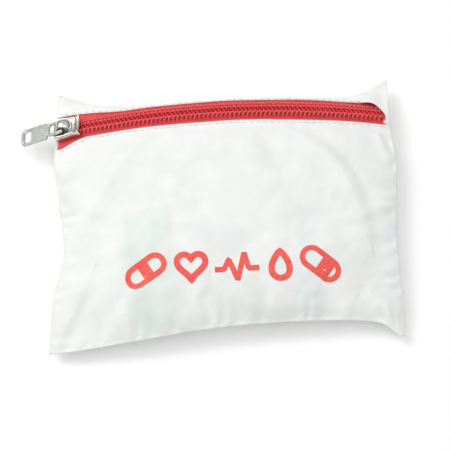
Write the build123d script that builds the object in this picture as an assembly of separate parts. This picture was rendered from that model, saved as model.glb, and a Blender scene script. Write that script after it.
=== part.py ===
"""A first aid pouch: thin sewn cloth, a coil zipper with its slider and pull, and the kit inside.

Millimetres. The pouch lies on its back. X runs along the zipper, Y towards the top fold, Z up, and the
origin is the middle of the flat area that the pouch rests on. The zipper follows a shallow arch, so the
whole chain is laid out in (along, across, height) coordinates about the arch's centre line.
"""

from build123d import *
import math
import os

# Cloth case
BASE_DIP = 0.3  # how far the back panel's curve passes below the table before it is cut flat
BACK_CLOTH = 0.9  # modelled thickness of the back cloth at the rim
FRONT_CLOTH = 0.4
SEAM_GAP = 0.45
FLAT_SHARE = 0.72  # share of the half width, and of the half height, that lies flat on the table
# Side seams from the bottom corner to the top corner: y, x, z
LEFT_SEAM = [(-62.4, -77.8, 3.5), (-38.4, -76, 6.8), (-18.4, -71.6, 8.5), (3.3, -74.1, 8.8),
             (22.9, -76.6, 8.8), (34, -76.7, 8.6), (44, -76.4, 6.4), (64.1, -77.3, 4.0)]
RIGHT_SEAM = [(-61.1, 74.7, 3.0), (-45.5, 75, 6), (-28, 74.6, 8.3), (-9.5, 75.4, 8.8), (10, 77.4, 8.8),
              (20, 77.9, 8.8), (36, 76.2, 8.2), (46, 76.5, 6.2), (63.1, 78, 4.0)]
# Bottom and top folds from left to right: x, y
BOTTOM_FOLD = [(-77.8, -62.4), (-64, -62.1), (-34, -59), (-12, -56.3), (9, -54.8), (31, -54.2),
               (52, -54.2), (67, -55.8), (74.7, -61.1)]
TOP_FOLD = [(-77.3, 64.1), (-68, 60), (-60, 56.2), (-48, 53.4), (-30, 51.8), (0, 51.4), (40, 51.5),
            (58, 52.4), (66, 55.5), (72, 59.5), (78, 63.1)]
HALF_WIDTH = 76.5
RIM_MIDDLE_Z = 9.0
CORNER_Z = 3.7
CREST = [(0, 9.0), (0.12, 14.5), (0.28, 18.8), (0.5, 20.9), (0.75, 21.3), (1, 20.4)]  # share up, height
SIDE_FULLNESS = [(0, 2.5), (0.5, 3.2), (1, 2.3)]  # share up, power of the cross-section curve
SETTLE_START_Y = 14.0  # from here upwards the front panel settles into the zipper's arch
SETTLE_LENGTH = 19.0
STRIP_END_X = 50.0
STRIP_LEAD = 1.5  # how far the top strip keeps to the tape's slope before it bends down
STRIP_SHOULDER = 0.55  # share of the strip's drop over which it falls steeply to the top fold
STRIP_WALL = (0, -0.35, -0.35)

# Side seam allowances, turned to the inside
SEAM_Y = (-48.0, 34.0)
SEAM_INSET = (2.0, 6.5)
SEAM_LIFT = 0.9
SEAM_THICKNESS = 0.4
SEAM_THREAD_INSET = 3.2

# Zipper
ARC_RADIUS = 285.0
ZIP_Y = 43.0
ZIP_Z = 21.5
ZIP_TILT = 8.0  # degrees that the zipper faces the top fold
SLOT_HALF = 5.3  # half the gap between the folded cloth edges
CLOTH_ON_TAPE = -0.45  # height of the cloth's outer face above the chain's middle
COIL_WIDTH = 2.8
COIL_HEIGHT = 2.3
COIL_INNER = 0.1  # gap from the middle of the chain to each coil
COIL_BORE = 1.1
CORD_DIAMETER = 0.9
TAPE_THICKNESS = 0.5
LOWER_TAPE_WIDTH = 7.0
UPPER_TAPE_WIDTH = 5.4
TAPE_INNER = 0.3
TAPE_END_X = 75.3
COIL_END_X = 74.5
THREAD = 0.45
STITCH_LENGTH = 2.6
STITCH_PITCH = 4.5
TOPSTITCH_ACROSS = 7.0
LOWER_STITCH_LIFT = 0.6
LOWER_STITCH_END_X = 61.0
UPPER_STITCH_SHARE = 0.16  # share of the way down the strip
UPPER_STITCH_LIFT = 0.22
POST_NOTCH_LENGTH = 8.0  # the tapes are cut away this far beside the slider's post
POST_NOTCH_HALF = 1.8

# Slider and pull, in the slider's own frame: x along the chain, y across it, z out of it
SLIDER_X = -70.5
SLIDER_LENGTH = 13.0
WING_FRONT_HALF = 5.6
WING_REAR_HALF = 4.9
WING_BOTTOM = 1.45
WING_THICKNESS = 1.05
FLANGE_INNER = 3.8
FLANGE_OUTER = 5.0
FLANGE_BOTTOM = -0.35
FLANGE_LENGTH = 9.8
FLANGE_MIDDLE_X = 0.9
LOWER_WING_TOP = -1.95
LOWER_WING_THICKNESS = 0.95
LOWER_WING_HALF = 4.6
LOWER_WING_SETBACK = 2.3
POST_FRONT = -5.4
POST_REAR = -1.5
POST_HALF = 1.4
CROWN_FRONT = -4.6
CROWN_REAR = 2.6
CROWN_HALF = 2.0
CROWN_TOP = 5.9
CROWN_WALL = 1.3
PULL_BAR_X = -2.2
PULL_BAR_Z = 3.5
PULL_BAR_RADIUS = 0.75
PULL_DROOP = 5.0  # degrees below the chain's tangent
PULL_SKEW = 4.0  # degrees that the tab lies askew in its eye
PULL_LENGTH = 20.5  # bar to tip
PULL_WIDTH = 9.0
PULL_THICKNESS = 1.2
PULL_NECK_WIDTH = 7.0
PULL_EYE_LENGTH = 6.0
PULL_EYE_WIDTH = 4.6
PULL_SLOT_LENGTH = 3.6
PULL_SLOT_WIDTH = 6.3
PULL_SLOT_FROM_TIP = 1.5

# Contents: packets are (length, width, thickness), places are the middle of the underside
GAUZE_SIZE = (49, 50, 2.0)
GAUZE_PLACE = (-31, -1, 1.3)
PLASTER_SIZE = (21, 56, 0.6)
PLASTER_PLACE = (-35, -15, 8.6)
WIPE_SIZE = (48, 31, 1.0)
WIPE_PLACE = (27.5, -24, 1.3)
GLOVE_SIZE = (31, 38, 4.2)
GLOVE_PLACE = (46, -14, 6.4)
PACKET_CORNER = 1.5
TAPE_ROLL_PLACE = (8, -21, 5.3)
TAPE_ROLL_RADIUS = 12.5
TAPE_ROLL_WIDTH = 11.5
TAPE_CORE_RADIUS = 6.0
TAPE_CORE_BORE = 4.8
BANDAGE_RADIUS = 7.2
BANDAGE_LENGTH = 48
BANDAGE_PLACE = (31, 17, 8.5)

tilt = math.radians(ZIP_TILT)
ACROSS = Vector(0, math.cos(tilt), -math.sin(tilt))
OUT = Vector(0, math.sin(tilt), math.cos(tilt))
ARC_CENTRE = Vector(0, ZIP_Y, ZIP_Z) - OUT * ARC_RADIUS
ZIP_AXIS = Axis(ARC_CENTRE, ACROSS)
ZIP_PLANE = Plane(origin=ARC_CENTRE, x_dir=ACROSS, z_dir=(1, 0, 0))


def between(low, high, share):
    return low + (high - low) * share


def eased(share):
    share = min(max(share, 0.0), 1.0)
    return share * share * (3 - 2 * share)


def smooth_through(stations, t):
    """The value at t of a smooth curve through a list of (t, value)."""
    slopes = []
    for i in range(len(stations)):
        before = stations[max(i - 1, 0)]
        after = stations[min(i + 1, len(stations) - 1)]
        slopes.append((after[1] - before[1]) / (after[0] - before[0]))
    t = min(max(t, stations[0][0]), stations[-1][0])
    i = 0
    while i < len(stations) - 2 and t > stations[i + 1][0]:
        i += 1
    span = stations[i + 1][0] - stations[i][0]
    s = (t - stations[i][0]) / span
    rise = stations[i + 1][1] - stations[i][1]
    start_slope = slopes[i] * span
    end_slope = slopes[i + 1] * span
    return stations[i][1] + s * (
        start_slope + s * (3 * rise - 2 * start_slope - end_slope + s * (start_slope + end_slope - 2 * rise))
    )


def seam_x(side, y):
    return smooth_through([(p[0], p[1]) for p in side], y)


def seam_z(side, y):
    return smooth_through([(p[0], p[2]) for p in side], y)


def bottom_y(x):
    return smooth_through(BOTTOM_FOLD, x)


def top_y(x):
    return smooth_through(TOP_FOLD, x)


def bottom_rim_z(u):
    return CORNER_Z + (RIM_MIDDLE_Z - CORNER_Z) * (1 - abs(u) ** 2.5)


def top_rim_z(u):
    return CORNER_Z + (RIM_MIDDLE_Z - CORNER_Z) * (1 - abs(u) ** 4)


def side_rim_z(u, y):
    return between(seam_z(LEFT_SEAM, y), seam_z(RIGHT_SEAM, y), (u + 1) / 2)


def zip_point(x, across, height):
    """The point of the arched zipper at x, this far across the chain and this high above its middle."""
    drop = math.sqrt((ARC_RADIUS + height) ** 2 - x * x)
    point = ARC_CENTRE + OUT * drop + ACROSS * across
    return Vector(x, point.Y, point.Z)


def zip_height(x, y, height):
    """Z, over (x, y), of the arched surface that lies this high above the chain's middle."""
    drop = math.sqrt((ARC_RADIUS + height) ** 2 - x * x)
    return ARC_CENTRE.Z + (drop - (y - ARC_CENTRE.Y) * math.sin(tilt)) / math.cos(tilt)


def rim_rise(share):
    return max((abs(share) - FLAT_SHARE) / (1 - FLAT_SHARE), 0.0) ** 2


def back_height(u, s, y):
    """Height of the back panel's outer face, u across from seam to seam and s up from edge to edge."""
    end_share = 2 * s - 1
    side = rim_rise(u)
    end = rim_rise(end_share)
    end_rim = bottom_rim_z(u) if end_share < 0 else top_rim_z(u)
    return side * side_rim_z(u, y) + end * end_rim * (1 - side) - BASE_DIP * (1 - max(side, end))


def back_point(u, s):
    x = u * HALF_WIDTH
    y = between(bottom_y(x), top_y(x), s)
    x = between(seam_x(LEFT_SEAM, y), seam_x(RIGHT_SEAM, y), (u + 1) / 2)
    return Vector(x, y, back_height(u, s, y))


def front_point(u, s):
    """The front panel's outer face: a filled pillow that settles into the zipper's arch at its top edge."""
    x = u * HALF_WIDTH
    edge_x = between(-TAPE_END_X, TAPE_END_X, (u + 1) / 2)
    edge_y = zip_point(edge_x, -SLOT_HALF, CLOTH_ON_TAPE).Y
    y = between(bottom_y(x), edge_y, s)
    x = between(seam_x(LEFT_SEAM, y), seam_x(RIGHT_SEAM, y), (u + 1) / 2)
    base = side_rim_z(u, y)
    crest = smooth_through(CREST, s)
    pillow = base + (crest - base) * (1 - abs(u) ** smooth_through(SIDE_FULLNESS, s))
    pillow += BACK_CLOTH + SEAM_GAP + FRONT_CLOTH
    settled = eased((y - SETTLE_START_Y) / SETTLE_LENGTH)
    return Vector(x, y, between(pillow, zip_height(x, y, CLOTH_ON_TAPE), settled))


def strip_point(x, s):
    """The cloth above the zipper, from the folded edge on the tape (s = 0) down to the top fold (s = 1)."""
    edge = zip_point(x, SLOT_HALF, CLOTH_ON_TAPE)
    fold = Vector(x, top_y(x), top_rim_z(x / HALF_WIDTH) + BACK_CLOTH + SEAM_GAP + FRONT_CLOTH)
    along = edge + ACROSS * STRIP_LEAD
    above = fold + Vector(0, 0, STRIP_SHOULDER * (edge.Z - fold.Z))
    r = 1 - s
    return edge * r**3 + along * (3 * r * r * s) + above * (3 * r * s * s) + fold * s**3


def steps(low, high, count):
    return [between(low, high, i / (count - 1)) for i in range(count)]


def sheet(point, first_values, second_values, wall):
    """A solid sheet: the face through point(first, second), given depth along the wall vector."""
    rows = [[point(a, b) for a in first_values] for b in second_values]
    face = Face.make_surface_from_array_of_points(rows, tol=0.001, min_deg=3, max_deg=3)
    return Solid.extrude(face, Vector(wall))


def make_back_panel():
    cloth = sheet(back_point, steps(-1, 1, 21), steps(0, 1, 17), (0, 0, BACK_CLOTH))
    below = Pos(0, 0, -5) * Box(2 * HALF_WIDTH, 2 * HALF_WIDTH, 10)
    return cloth - below


def make_front_panel():
    return sheet(front_point, steps(-1, 1, 21), steps(0, 1, 21), (0, 0, -FRONT_CLOTH))


def make_top_strip():
    return sheet(strip_point, steps(-STRIP_END_X, STRIP_END_X, 13), steps(0, 1, 7), STRIP_WALL)


def make_corner_ear(side, seam):
    """The strip's end, from beyond the part that opens out to the side seam."""

    def ear_point(share, s):
        start = side * (STRIP_END_X + 0.5)
        guess = strip_point(between(start, side * TAPE_END_X, share), s)
        return Vector(between(start, seam_x(seam, guess.Y), share), guess.Y, guess.Z)

    shares = steps(0, 1, 7)
    if side < 0:
        shares.reverse()
    return sheet(ear_point, shares, steps(0, 1, 7), STRIP_WALL)


def back_inner_point(side_sign, inset, y, lift):
    """A point lying on the inside of the back panel, inset from a side seam and lifted off it."""
    seam = LEFT_SEAM if side_sign < 0 else RIGHT_SEAM
    x = seam_x(seam, y) - side_sign * inset
    left = seam_x(LEFT_SEAM, y)
    u = 2 * (x - left) / (seam_x(RIGHT_SEAM, y) - left) - 1
    s = (y - bottom_y(x)) / (top_y(x) - bottom_y(x))
    return Vector(x, y, back_height(u, s, y) + BACK_CLOTH + lift)


def make_side_seam(side_sign):
    def band_point(inset, y):
        return back_inner_point(side_sign, inset, y, SEAM_LIFT)

    insets = steps(SEAM_INSET[0], SEAM_INSET[1], 5)
    if side_sign > 0:
        insets.reverse()
    return sheet(band_point, insets, steps(SEAM_Y[0], SEAM_Y[1], 9), (0, 0, SEAM_THICKNESS))


def thread_stitch(start, end, lift_direction, lift):
    """One stitch of thread, lying from start to end on the cloth."""
    run = end - start
    plane = Plane(origin=(start + end) * 0.5 + lift_direction * lift, x_dir=run, z_dir=lift_direction)
    return plane * Box(run.length, THREAD, THREAD * 0.6)


def make_seam_stitching(side_sign):
    """The seam's thread: one narrow raised line along the middle of the seam allowance."""
    lift = SEAM_LIFT + SEAM_THICKNESS + 0.1

    def line_point(inset, y):
        return back_inner_point(side_sign, inset, y, lift)

    insets = steps(SEAM_THREAD_INSET, SEAM_THREAD_INSET + THREAD, 4)
    if side_sign > 0:
        insets.reverse()
    return sheet(line_point, insets, steps(SEAM_Y[0] + 1, SEAM_Y[1] - 1, 9), (0, 0, THREAD))


def make_lower_topstitching():
    stitches = []
    x = -STITCH_PITCH * 13 - STITCH_LENGTH / 2
    while x + STITCH_LENGTH < LOWER_STITCH_END_X:
        start = zip_point(x, -TOPSTITCH_ACROSS, CLOTH_ON_TAPE)
        end = zip_point(x + STITCH_LENGTH, -TOPSTITCH_ACROSS, CLOTH_ON_TAPE)
        stitches.append(thread_stitch(start, end, OUT, LOWER_STITCH_LIFT))
        x += STITCH_PITCH
    return stitches


def make_upper_topstitching():
    stitches = []
    x = -STITCH_PITCH * 11 - STITCH_LENGTH / 2
    while x + STITCH_LENGTH < STRIP_END_X - 2:
        start = strip_point(x, UPPER_STITCH_SHARE)
        end = strip_point(x + STITCH_LENGTH, UPPER_STITCH_SHARE)
        downhill = strip_point(x, UPPER_STITCH_SHARE + 0.05) - start
        normal = (end - start).cross(downhill).normalized()
        stitches.append(thread_stitch(start, end, normal, UPPER_STITCH_LIFT))
        x += STITCH_PITCH
    return stitches


def arc_angle(x):
    return math.degrees(math.asin(x / ARC_RADIUS))


def along_zip(profile, x_from, x_to):
    """A profile drawn in (across, distance from the arch's centre) carried along the zipper's arch."""
    placed = (ZIP_PLANE * profile).rotate(ZIP_AXIS, arc_angle(x_from))
    return revolve(placed, ZIP_AXIS, arc_angle(x_to) - arc_angle(x_from))


COIL_START_X = SLIDER_X + POST_REAR + 0.4


def make_tape(side_sign, width):
    """A tape, cut away beside the slider's post, where the two tapes part."""
    middle = side_sign * (TAPE_INNER + width) / 2
    height = ARC_RADIUS - (COIL_HEIGHT + TAPE_THICKNESS) / 2
    profile = Pos(middle, height) * Rectangle(width - TAPE_INNER, TAPE_THICKNESS)
    tape = along_zip(profile, -TAPE_END_X, TAPE_END_X)
    notch_middle = POST_REAR + 0.4 - POST_NOTCH_LENGTH / 2
    notch = slider_plane() * Pos(notch_middle, 0, 0) * Box(POST_NOTCH_LENGTH, 2 * POST_NOTCH_HALF, 8)
    return tape - notch


def coil_middle(side_sign):
    return Pos(side_sign * (COIL_INNER + COIL_WIDTH / 2), ARC_RADIUS)


def make_coil(side_sign):
    """The outer shape of the wound coil, hollow where its filler cord runs."""
    outline = RectangleRounded(COIL_WIDTH, COIL_HEIGHT, 0.8) - Circle(COIL_BORE / 2)
    return along_zip(coil_middle(side_sign) * outline, COIL_START_X, COIL_END_X)


def make_coil_cord(side_sign):
    return along_zip(coil_middle(side_sign) * Circle(CORD_DIAMETER / 2), COIL_START_X, COIL_END_X)


def make_coil_stitching(side_sign):
    """The chain stitch that runs along the coil's outer shoulder."""
    across = side_sign * (COIL_INNER + COIL_WIDTH + THREAD / 2 + 0.03)
    height = ARC_RADIUS - COIL_HEIGHT / 2 + THREAD / 2 + 0.02
    return along_zip(Pos(across, height) * Circle(THREAD / 2), COIL_START_X, COIL_END_X)


def slider_plane():
    """The slider's own frame, on the arch at the slider's place."""
    angle = math.asin(SLIDER_X / ARC_RADIUS)
    tangent = Vector(math.cos(angle), 0, 0) - OUT * math.sin(angle)
    out = Vector(math.sin(angle), 0, 0) + OUT * math.cos(angle)
    return Plane(origin=ARC_CENTRE + out * ARC_RADIUS, x_dir=tangent, z_dir=out)


def wing(front_half, rear_half, front_x, rear_x, bottom, thickness):
    shoulder_x = between(front_x, rear_x, 0.45)
    outline = Polygon(
        (front_x, front_half),
        (shoulder_x, front_half),
        (rear_x, rear_half),
        (rear_x, -rear_half),
        (shoulder_x, -front_half),
        (front_x, -front_half),
        align=None,
    )
    outline = fillet(outline.vertices(), 1.2)
    return Pos(0, 0, bottom) * extrude(outline, thickness, dir=(0, 0, 1))


def make_slider_body():
    half_length = SLIDER_LENGTH / 2
    top = wing(WING_FRONT_HALF, WING_REAR_HALF, -half_length, half_length, WING_BOTTOM, WING_THICKNESS)
    top = fillet(top.edges().group_by(Axis.Z)[-1], 0.4)
    lower_bottom = LOWER_WING_TOP - LOWER_WING_THICKNESS
    lower = wing(LOWER_WING_HALF, LOWER_WING_HALF, LOWER_WING_SETBACK - half_length, half_length - 0.5,
                 lower_bottom, LOWER_WING_THICKNESS)
    body = top + lower
    flange_height = WING_BOTTOM + 0.3 - FLANGE_BOTTOM
    for side in (-1, 1):
        flange = Box(FLANGE_LENGTH, FLANGE_OUTER - FLANGE_INNER, flange_height)
        middle = side * (FLANGE_INNER + FLANGE_OUTER) / 2
        body += Pos(FLANGE_MIDDLE_X, middle, FLANGE_BOTTOM + flange_height / 2) * flange
    post_outline = Polygon(
        (POST_FRONT, 0.7), (POST_FRONT + 1.6, POST_HALF), (POST_REAR, 0.35),
        (POST_REAR, -0.35), (POST_FRONT + 1.6, -POST_HALF), (POST_FRONT, -0.7), align=None,
    )
    post_height = WING_BOTTOM + 0.2 - (LOWER_WING_TOP - 0.2)
    body += Pos(0, 0, LOWER_WING_TOP - 0.2) * extrude(post_outline, post_height, dir=(0, 0, 1))
    return slider_plane() * body


def make_slider_crown():
    """The arched bridge over the top wing, under which the pull's bar sits."""
    foot = WING_BOTTOM + WING_THICKNESS
    length = CROWN_REAR - CROWN_FRONT
    middle = (CROWN_REAR + CROWN_FRONT) / 2
    height = CROWN_TOP - foot
    side_view = Plane.XZ * Pos(middle, foot + height / 2) * Rectangle(length, height)
    crown = extrude(side_view, CROWN_HALF, both=True)
    upper_ends = crown.edges().filter_by(Axis.Y).group_by(Axis.Z)[-1]
    crown = fillet(upper_ends, 2.2)
    gap_height = height - CROWN_WALL
    gap = Pos(middle, 0, foot + gap_height / 2) * Box(length - 2 * CROWN_WALL, 3 * CROWN_HALF, gap_height)
    crown = crown - fillet(gap.edges().filter_by(Axis.Y).group_by(Axis.Z)[-1], 0.9)
    return slider_plane() * crown


def make_pull_tab():
    """A flat tab with an eye round the crown at one end and a slot at the other."""
    neck_end = PULL_EYE_LENGTH + 0.6
    plate_length = PULL_LENGTH - neck_end
    plate = Pos(-neck_end - plate_length / 2, 0) * RectangleRounded(plate_length, PULL_WIDTH, 1.6)
    neck = Pos(-neck_end / 2 - 0.5, 0) * Rectangle(neck_end + 1, PULL_NECK_WIDTH)
    slot_x = -PULL_LENGTH + PULL_SLOT_FROM_TIP + PULL_SLOT_LENGTH / 2
    slot = Pos(slot_x, 0) * RectangleRounded(PULL_SLOT_LENGTH, PULL_SLOT_WIDTH, 1.2)
    eye = Pos(-PULL_EYE_LENGTH / 2, 0) * Rectangle(PULL_EYE_LENGTH, PULL_EYE_WIDTH)
    outline = plate + neck - slot - eye
    tab = Pos(0, 0, -PULL_THICKNESS / 2) * extrude(outline, PULL_THICKNESS)
    tab = Rot(0, 0, PULL_SKEW) * tab
    bar = Rot(90, 0, 0) * Cylinder(PULL_BAR_RADIUS, PULL_NECK_WIDTH)
    pull = Rot(0, -PULL_DROOP, 0) * (tab + bar)
    return slider_plane() * Pos(PULL_BAR_X, 0, PULL_BAR_Z) * pull


def packet_stack(count, size, gap, place, turn):
    """Flat sealed packets, one on another, each lying slightly askew."""
    length, width, thickness = size
    stack = []
    for i in range(count):
        packet = extrude(RectangleRounded(length, width, PACKET_CORNER), thickness)
        lift = place[2] + i * (thickness + gap)
        stack.append(Pos(place[0], place[1], lift) * Rot(0, 0, turn + (i % 3 - 1) * 1.5) * packet)
    return stack


def make_tape_roll():
    ring = Circle(TAPE_ROLL_RADIUS) - Circle(TAPE_CORE_RADIUS + 0.02)
    return Pos(*TAPE_ROLL_PLACE) * extrude(ring, TAPE_ROLL_WIDTH)


def make_tape_core():
    ring = Circle(TAPE_CORE_RADIUS) - Circle(TAPE_CORE_BORE)
    return Pos(*TAPE_ROLL_PLACE) * extrude(ring, TAPE_ROLL_WIDTH)


def make_bandage_roll():
    roll = Rot(0, 90, 0) * Cylinder(BANDAGE_RADIUS, BANDAGE_LENGTH)
    roll = fillet(roll.edges(), 1.0)
    return Pos(*BANDAGE_PLACE) * roll


def make_glove_packet():
    length, width, thickness = GLOVE_SIZE
    packet = extrude(RectangleRounded(length, width, 2 * PACKET_CORNER), thickness)
    packet = fillet(packet.edges().group_by(Axis.Z)[-1], 1.2)
    return Pos(*GLOVE_PLACE) * Rot(0, 0, 4) * packet


parts = {
    "front_panel": make_front_panel(),
    "back_panel": make_back_panel(),
    "top_strip": make_top_strip(),
    "left_corner_ear": make_corner_ear(-1, LEFT_SEAM),
    "right_corner_ear": make_corner_ear(1, RIGHT_SEAM),
    "left_side_seam": make_side_seam(-1),
    "right_side_seam": make_side_seam(1),
    "left_seam_stitching": make_seam_stitching(-1),
    "right_seam_stitching": make_seam_stitching(1),
    "lower_topstitching": make_lower_topstitching(),
    "upper_topstitching": make_upper_topstitching(),
    "lower_zipper_tape": make_tape(-1, LOWER_TAPE_WIDTH),
    "upper_zipper_tape": make_tape(1, UPPER_TAPE_WIDTH),
    "lower_coil": make_coil(-1),
    "upper_coil": make_coil(1),
    "lower_coil_cord": make_coil_cord(-1),
    "upper_coil_cord": make_coil_cord(1),
    "lower_coil_stitching": make_coil_stitching(-1),
    "upper_coil_stitching": make_coil_stitching(1),
    "slider_body": make_slider_body(),
    "slider_crown": make_slider_crown(),
    "pull_tab": make_pull_tab(),
    "gauze_pads": packet_stack(3, GAUZE_SIZE, 0.3, GAUZE_PLACE, 0),
    "plaster_strips": packet_stack(5, PLASTER_SIZE, 0.15, PLASTER_PLACE, 2),
    "antiseptic_wipes": packet_stack(3, WIPE_SIZE, 0.2, WIPE_PLACE, 0),
    "tape_roll": make_tape_roll(),
    "tape_core": make_tape_core(),
    "bandage_roll": make_bandage_roll(),
    "glove_packet": make_glove_packet(),
}

os.makedirs("parts", exist_ok=True)
for name, shape in parts.items():
    solid = Compound(children=shape) if isinstance(shape, list) else shape
    export_step(solid, f"parts/{name}.step")
print(len(parts), "parts written")
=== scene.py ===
"""Looks of the first aid pouch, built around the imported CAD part.

Shapes are worked out in millimetres, with the same stations as the CAD source, and then made into meshes
in metres. X runs along the zipper, Y towards the top fold and Z up. Places on the zipper are given as x, the
distance across the chain and the height above the chain's middle.
"""

import math

import bpy
import numpy as np
from mathutils import Matrix, Vector


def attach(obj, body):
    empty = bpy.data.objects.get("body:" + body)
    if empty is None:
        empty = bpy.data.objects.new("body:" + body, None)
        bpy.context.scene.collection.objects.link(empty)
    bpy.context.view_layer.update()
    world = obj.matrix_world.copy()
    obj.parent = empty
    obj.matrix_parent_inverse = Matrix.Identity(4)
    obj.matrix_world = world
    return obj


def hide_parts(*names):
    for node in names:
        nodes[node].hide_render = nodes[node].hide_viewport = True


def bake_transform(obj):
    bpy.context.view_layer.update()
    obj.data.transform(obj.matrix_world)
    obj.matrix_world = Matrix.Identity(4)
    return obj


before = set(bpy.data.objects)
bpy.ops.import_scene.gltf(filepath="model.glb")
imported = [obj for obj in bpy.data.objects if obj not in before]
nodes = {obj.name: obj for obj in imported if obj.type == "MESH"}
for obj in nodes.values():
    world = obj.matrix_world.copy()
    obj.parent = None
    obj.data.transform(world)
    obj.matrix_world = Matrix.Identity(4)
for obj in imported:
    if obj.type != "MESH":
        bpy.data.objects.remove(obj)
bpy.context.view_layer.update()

MM = 0.001

# The case, as in the CAD source
HALF_WIDTH = 76.5
FLAT_SHARE = 0.72
BASE_DIP = 0.3
RIM_MIDDLE_Z = 9.0
CORNER_Z = 3.7
RIM_LIFT = 1.75  # from the back panel's rim to the front panel's face
LEFT_SEAM = [(-62.4, -77.8, 3.5), (-38.4, -76, 6.8), (-18.4, -71.6, 8.5), (3.3, -74.1, 8.8),
             (22.9, -76.6, 8.8), (34, -76.7, 8.6), (44, -76.4, 6.4), (64.1, -77.3, 4.0)]
RIGHT_SEAM = [(-61.1, 74.7, 3.0), (-45.5, 75, 6), (-28, 74.6, 8.3), (-9.5, 75.4, 8.8), (10, 77.4, 8.8),
              (20, 77.9, 8.8), (36, 76.2, 8.2), (46, 76.5, 6.2), (63.1, 78, 4.0)]
BOTTOM_FOLD = [(-77.8, -62.4), (-64, -62.1), (-34, -59), (-12, -56.3), (9, -54.8), (31, -54.2),
               (52, -54.2), (67, -55.8), (74.7, -61.1)]
TOP_FOLD = [(-77.3, 64.1), (-68, 60), (-60, 56.2), (-48, 53.4), (-30, 51.8), (0, 51.4), (40, 51.5),
            (58, 52.4), (66, 55.5), (72, 59.5), (78, 63.1)]
CREST = [(0, 9.0), (0.12, 14.5), (0.28, 18.8), (0.5, 20.9), (0.75, 21.3), (1, 20.4)]
SIDE_FULLNESS = [(0, 2.5), (0.5, 3.2), (1, 2.3)]
CLOTH_THICKNESS = 0.2

# The zipper, as in the CAD source
ARC_RADIUS = 285.0
ZIP_TILT = math.radians(8)
ZIP_MIDDLE = np.array([0, 43.0, 21.5])
ACROSS = np.array([0, math.cos(ZIP_TILT), -math.sin(ZIP_TILT)])
OUT = np.array([0, math.sin(ZIP_TILT), math.cos(ZIP_TILT)])
ARC_CENTRE = ZIP_MIDDLE - OUT * ARC_RADIUS
SLOT_HALF = 5.3
CLOTH_ON_TAPE = -0.45
TAPE_TOP = -1.15
TAPE_END_X = 75.3
COIL_START_X = -71.6
COIL_END_X = 74.5
COIL_PITCH = 1.98
STRIP_JOIN_X = 50.5

# The cloth's folded edges at the zipper
LEFT_SLIP = 4.5  # how far the lower edge slips down at the left end
LEFT_SPLAY = 2.6  # how far the upper edge splays at the left end
RIGHT_CROSSING = 9.8  # how far the upper edge crosses over the chain at the right end
RIGHT_RISE = 2.1
TAPE_UNDER_CLOTH = 1.3
HEM_LENGTH = 0.7
HEM_DROP = 0.4

# Thread and filament
FILAMENT_RADIUS = 0.33
FILLER_CORD_RADIUS = 0.45
COIL_THREAD_RADIUS = 0.3
COIL_UNDER_THREAD_RADIUS = 0.26
TOPSTITCH_RADIUS = 0.2
TOPSTITCH_PITCH = 3.1
TOPSTITCH_LENGTH = 2.2
LOWER_TOPSTITCH_INSET = 1.7
UPPER_TOPSTITCH_SHARE = 0.12  # share of the way from the upper edge to the top fold

# mouth_share rises from nothing at these two points in the row frame, in metres
MOUTH_ENDS = (-72, 59)
MOUTH_EASE = 38


# ---------------------------------------------------------------- shapes in millimetres

def between(low, high, share):
    return low + (high - low) * share


def eased(share):
    share = np.clip(share, 0, 1)
    return share * share * (3 - 2 * share)


def smooth_through(stations, t, column=1):
    """The value at t of a smooth curve through the stations, whose first entry is t."""
    places = np.array([p[0] for p in stations], float)
    values = np.array([p[column] for p in stations], float)
    count = len(stations)
    before = np.maximum(np.arange(count) - 1, 0)
    after = np.minimum(np.arange(count) + 1, count - 1)
    slopes = (values[after] - values[before]) / (places[after] - places[before])
    t = np.clip(t, places[0], places[-1])
    i = np.clip(np.searchsorted(places, t, side="right") - 1, 0, count - 2)
    span = places[i + 1] - places[i]
    s = (t - places[i]) / span
    rise = values[i + 1] - values[i]
    start = slopes[i] * span
    end = slopes[i + 1] * span
    return values[i] + s * (start + s * (3 * rise - 2 * start - end + s * (start + end - 2 * rise)))


def zip_point(x, across, height):
    x, across, height = np.broadcast_arrays(np.asarray(x, float), across, height)
    drop = np.sqrt((ARC_RADIUS + height) ** 2 - x * x)
    point = ARC_CENTRE + OUT * drop[..., None] + ACROSS * across[..., None]
    point[..., 0] = x
    return point


def zip_height(x, y, height):
    drop = np.sqrt((ARC_RADIUS + height) ** 2 - x * x)
    return ARC_CENTRE[2] + (drop - (y - ARC_CENTRE[1]) * math.sin(ZIP_TILT)) / math.cos(ZIP_TILT)


def across_share(x, y):
    """How far x lies between the side seams at y, from -1 to 1."""
    left = smooth_through(LEFT_SEAM, y)
    right = smooth_through(RIGHT_SEAM, y)
    return 2 * (x - left) / (right - left) - 1


def seam_to_seam(u, y):
    return between(smooth_through(LEFT_SEAM, y), smooth_through(RIGHT_SEAM, y), (u + 1) / 2)


def plain_front_height(x, y):
    """Height of the CAD front panel's outer face over (x, y)."""
    u = np.clip(across_share(x, y), -1, 1)
    edge_y = zip_point(u * TAPE_END_X, -SLOT_HALF, CLOTH_ON_TAPE)[..., 1]
    low_y = smooth_through(BOTTOM_FOLD, u * HALF_WIDTH)
    s = (y - low_y) / (edge_y - low_y)
    base = between(smooth_through(LEFT_SEAM, y, 2), smooth_through(RIGHT_SEAM, y, 2), (u + 1) / 2)
    crest = smooth_through(CREST, s)
    pillow = base + (crest - base) * (1 - np.abs(u) ** smooth_through(SIDE_FULLNESS, s)) + RIM_LIFT
    return between(pillow, zip_height(x, y, CLOTH_ON_TAPE), eased((y - 14) / 19))


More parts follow.
